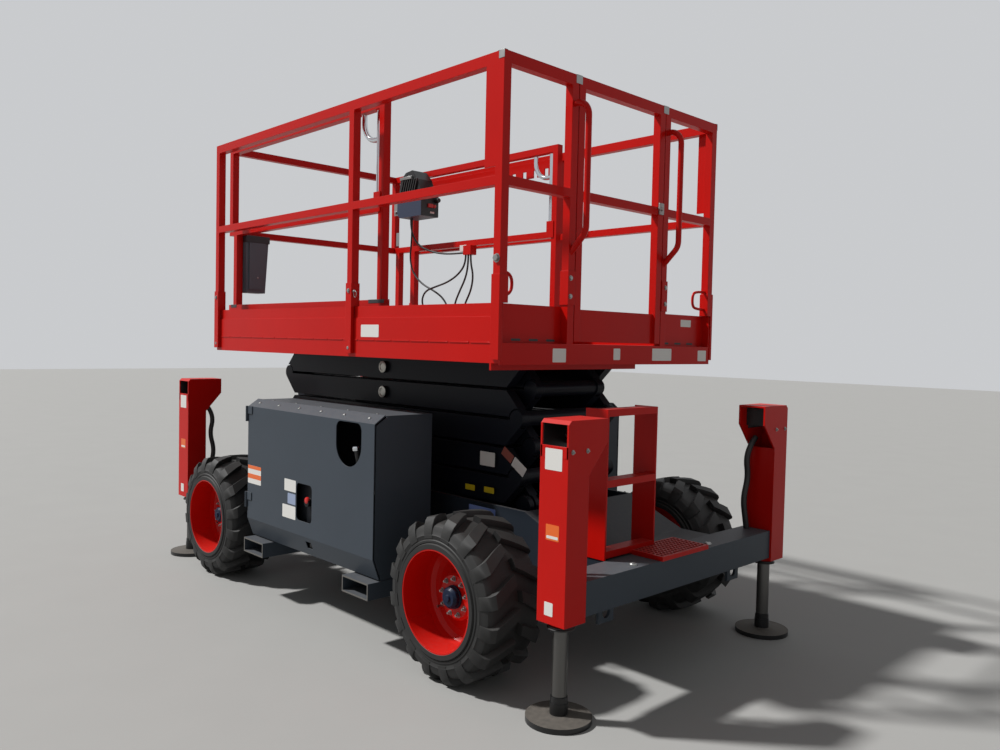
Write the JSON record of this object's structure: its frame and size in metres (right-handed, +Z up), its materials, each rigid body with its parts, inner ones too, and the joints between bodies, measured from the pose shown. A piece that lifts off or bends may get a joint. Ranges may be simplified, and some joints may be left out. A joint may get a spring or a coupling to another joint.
{
  "type": "rough terrain scissor lift",
  "caption": "Self-propelled scissor lift for rough ground: wheeled chassis with outriggers, stacked arms and a railed platform with a roll-out deck.",
  "frame": {"origin": "on the ground, at the middle of the machine's footprint", "axes": "+X to the rear (ladder and gate), -X to the steered front, +Y to the machine's right, +Z up"},
  "size_m": [3.3059, 1.728, 2.455],
  "materials": {
    "red_paint": "gloss red paint",
    "red_rim": "gloss red paint",
    "navy_paint": "satin dark blue-grey paint",
    "slate_paint": "satin slate grey paint",
    "grey_paint": "satin grey paint",
    "cast_grey": "painted casting",
    "tyre_rubber": "matt",
    "steel_rod": "polished",
    "tube_steel": "zinc plated",
    "black_plastic": "matt",
    "deck_metal": "red paint"
  },
  "bodies": {
    "chassis": {"chassis_frame": "navy_paint", "outrigger_beams": "navy_paint", "outrigger_housings": "red_paint", "ladder": "navy_paint", "fork_pockets": "navy_paint", "cabinets": "slate_paint", "control_panel": "black_plastic", "machinery": "cast_grey", "axles": "navy_paint", "steer_cylinder": "cast_grey"},
    "steer_bar": {"steer_rod": "steel_rod"},
    "knuckle_l": {"knuckle_left": "cast_grey"},
    "knuckle_r": {"knuckle_right": "cast_grey"},
    "door_l": {"door_left": "slate_paint"},
    "door_r": {"door_right": "slate_paint"},
    "platform": {"platform_deck": "red_paint", "side_rails": "red_paint", "rear_rails": "red_paint", "latch_rack": "red_paint"},
    "gate_body": {"gate": "red_paint"},
    "extension": {"extension_deck": "deck_metal", "extension_rails": "red_paint", "push_handles": "steel_rod", "control_box": "black_plastic", "manual_box": "grey_paint", "control_cable": "black_plastic"},
    "wheel_front_left": {"rim_front_left": "red_rim", "tyre_front_left": "tyre_rubber"},
    "outrigger_front_left": {"leg_front_left": "tube_steel"},
    "wheel_front_right": {"rim_front_right": "red_rim", "tyre_front_right": "tyre_rubber"},
    "outrigger_front_right": {"leg_front_right": "tube_steel"},
    "wheel_rear_left": {"rim_rear_left": "red_rim", "tyre_rear_left": "tyre_rubber"},
    "outrigger_rear_left": {"leg_rear_left": "tube_steel"},
    "wheel_rear_right": {"rim_rear_right": "red_rim", "tyre_rear_right": "tyre_rubber"},
    "outrigger_rear_right": {"leg_rear_right": "tube_steel"},
    "outer_1": {"scissor_outer_1": "grey_paint"},
    "inner_1": {"scissor_inner_1": "grey_paint"},
    "outer_2": {"scissor_outer_2": "grey_paint"},
    "inner_2": {"scissor_inner_2": "grey_paint"},
    "outer_3": {"scissor_outer_3": "grey_paint"},
    "inner_3": {"scissor_inner_3": "grey_paint"},
    "outer_4": {"scissor_outer_4": "grey_paint"},
    "inner_4": {"scissor_inner_4": "grey_paint"},
    "outer_5": {"scissor_outer_5": "grey_paint"},
    "inner_5": {"scissor_inner_5": "grey_paint"},
    "barrel_lower": {"lift_barrel_lower": "cast_grey"},
    "rod_lower": {"lift_rod_lower": "steel_rod"},
    "barrel_upper": {"lift_barrel_upper": "cast_grey"},
    "rod_upper": {"lift_rod_upper": "steel_rod"}
  },
  "joints": [
    {"name": "steer_left", "type": "hinge", "parent": "chassis", "child": "knuckle_l", "pos_m": [-1.009, -0.55, 0.33], "axis": [0, 0, 1], "range_deg": [-30, 30]},
    {"name": "steer_right", "type": "hinge", "parent": "chassis", "child": "knuckle_r", "pos_m": [-1.009, 0.55, 0.33], "axis": [0, 0, 1], "range_deg": [-31, 31]},
    {"name": "steer_bar_slide", "type": "slide", "parent": "chassis", "child": "steer_bar", "axis": [0, 1, 0], "range_m": [-0.076, 0.076]},
    {"name": "spin_front_left", "type": "hinge", "parent": "knuckle_l", "child": "wheel_front_left", "pos_m": [-1.009, -0.712, 0.33], "axis": [0, 1, 0], "continuous": true},
    {"name": "spin_front_right", "type": "hinge", "parent": "knuckle_r", "child": "wheel_front_right", "pos_m": [-1.009, 0.712, 0.33], "axis": [0, 1, 0], "continuous": true},
    {"name": "spin_rear_left", "type": "hinge", "parent": "chassis", "child": "wheel_rear_left", "pos_m": [1.009, -0.712, 0.33], "axis": [0, 1, 0], "continuous": true},
    {"name": "spin_rear_right", "type": "hinge", "parent": "chassis", "child": "wheel_rear_right", "pos_m": [1.009, 0.712, 0.33], "axis": [0, 1, 0], "continuous": true},
    {"name": "leg_slide_front_left", "type": "slide", "parent": "chassis", "child": "outrigger_front_left", "axis": [0, 0, 1], "range_m": [0, 0.25]},
    {"name": "leg_slide_front_right", "type": "slide", "parent": "chassis", "child": "outrigger_front_right", "axis": [0, 0, 1], "range_m": [0, 0.25]},
    {"name": "leg_slide_rear_left", "type": "slide", "parent": "chassis", "child": "outrigger_rear_left", "axis": [0, 0, 1], "range_m": [0, 0.25]},
    {"name": "leg_slide_rear_right", "type": "slide", "parent": "chassis", "child": "outrigger_rear_right", "axis": [0, 0, 1], "range_m": [0, 0.25]},
    {"name": "door_left_hinge", "type": "hinge", "parent": "chassis", "child": "door_l", "pos_m": [-0.581, -0.839, 0.65], "axis": [0, 0, -1], "range_deg": [0, 100]},
    {"name": "door_right_hinge", "type": "hinge", "parent": "chassis", "child": "door_r", "pos_m": [-0.581, 0.839, 0.65], "axis": [0, 0, 1], "range_deg": [0, 100]},
    {"name": "scissor_lift", "type": "hinge", "parent": "chassis", "child": "outer_1", "pos_m": [-1.063, 0, 0.615], "axis": [0, -1, 0], "range_deg": [0, 63.2]},
    {"name": "scissor_1_centre", "type": "hinge", "parent": "outer_1", "child": "inner_1", "pos_m": [-0.085, 0, 0.68], "axis": [0, 1, 0], "range_deg": [0, 128.4]},
    {"name": "scissor_1_2_front", "type": "hinge", "parent": "inner_1", "child": "inner_2", "pos_m": [-1.063, 0, 0.745], "axis": [0, -1, 0], "range_deg": [0, 128.4]},
    {"name": "scissor_2_centre", "type": "hinge", "parent": "inner_2", "child": "outer_2", "pos_m": [-0.085, 0, 0.81], "axis": [0, 1, 0], "range_deg": [0, 128.4]},
    {"name": "scissor_2_3_front", "type": "hinge", "parent": "outer_2", "child": "outer_3", "pos_m": [-1.063, 0, 0.875], "axis": [0, -1, 0], "range_deg": [0, 128.4]},
    {"name": "scissor_3_centre", "type": "hinge", "parent": "outer_3", "child": "inner_3", "pos_m": [-0.085, 0, 0.94], "axis": [0, 1, 0], "range_deg": [0, 128.4]},
    {"name": "scissor_3_4_front", "type": "hinge", "parent": "inner_3", "child": "inner_4", "pos_m": [-1.063, 0, 1.005], "axis": [0, -1, 0], "range_deg": [0, 128.4]},
    {"name": "scissor_4_centre", "type": "hinge", "parent": "inner_4", "child": "outer_4", "pos_m": [-0.085, 0, 1.07], "axis": [0, 1, 0], "range_deg": [0, 128.4]},
    {"name": "scissor_4_5_front", "type": "hinge", "parent": "outer_4", "child": "outer_5", "pos_m": [-1.063, 0, 1.135], "axis": [0, -1, 0], "range_deg": [0, 128.4]},
    {"name": "scissor_5_centre", "type": "hinge", "parent": "outer_5", "child": "inner_5", "pos_m": [-0.085, 0, 1.2], "axis": [0, 1, 0], "range_deg": [0, 128.4]},
    {"name": "platform_front", "type": "hinge", "parent": "inner_5", "child": "platform", "pos_m": [-1.063, 0, 1.265], "axis": [0, -1, 0], "range_deg": [0, 65.2]},
    {"name": "lift_lower_swing", "type": "hinge", "parent": "inner_1", "child": "barrel_lower", "pos_m": [0.437, 0, 0.68], "axis": [0, 1, 0], "range_deg": [0, 7.32]},
    {"name": "lift_lower_extend", "type": "slide", "parent": "barrel_lower", "child": "rod_lower", "axis": [-0.9942, 0, 0.1077], "range_m": [0, 0.5]},
    {"name": "lift_upper_swing", "type": "hinge", "parent": "inner_3", "child": "barrel_upper", "pos_m": [0.437, 0, 0.94], "axis": [0, 1, 0], "range_deg": [0, 7.32]},
    {"name": "lift_upper_extend", "type": "slide", "parent": "barrel_upper", "child": "rod_upper", "axis": [-0.9942, 0, 0.1077], "range_m": [0, 0.5]},
    {"name": "gate_hinge", "type": "hinge", "parent": "platform", "child": "gate_body", "pos_m": [1.151, 0.3015, 1.9], "axis": [0, 0, -1], "range_deg": [0, 85]},
    {"name": "extension_roll", "type": "slide", "parent": "platform", "child": "extension", "axis": [-1, 0, 0], "range_m": [0, 1.5]}
  ],
  "couplings": [
    {"joint": "steer_right", "follows": "steer_left", "ratio": 1},
    {"joint": "steer_bar_slide", "follows": "steer_left", "m_per_rad": 0.14},
    {"joint": "scissor_1_centre", "follows": "scissor_lift", "ratio": 2},
    {"joint": "scissor_1_2_front", "follows": "scissor_lift", "ratio": 2},
    {"joint": "scissor_2_centre", "follows": "scissor_lift", "ratio": 2},
    {"joint": "scissor_2_3_front", "follows": "scissor_lift", "ratio": 2},
    {"joint": "scissor_3_centre", "follows": "scissor_lift", "ratio": 2},
    {"joint": "scissor_3_4_front", "follows": "scissor_lift", "ratio": 2},
    {"joint": "scissor_4_centre", "follows": "scissor_lift", "ratio": 2},
    {"joint": "scissor_4_5_front", "follows": "scissor_lift", "ratio": 2},
    {"joint": "scissor_5_centre", "follows": "scissor_lift", "ratio": 2},
    {"joint": "platform_front", "follows": "scissor_lift", "ratio": 1},
    {"joint": "lift_lower_swing", "follows": "scissor_lift", "ratio": 0.1},
    {"joint": "lift_lower_extend", "follows": "scissor_lift", "m_per_rad": 0.444},
    {"joint": "lift_upper_swing", "follows": "scissor_lift", "ratio": 0.1},
    {"joint": "lift_upper_extend", "follows": "scissor_lift", "m_per_rad": 0.444}
  ]
}
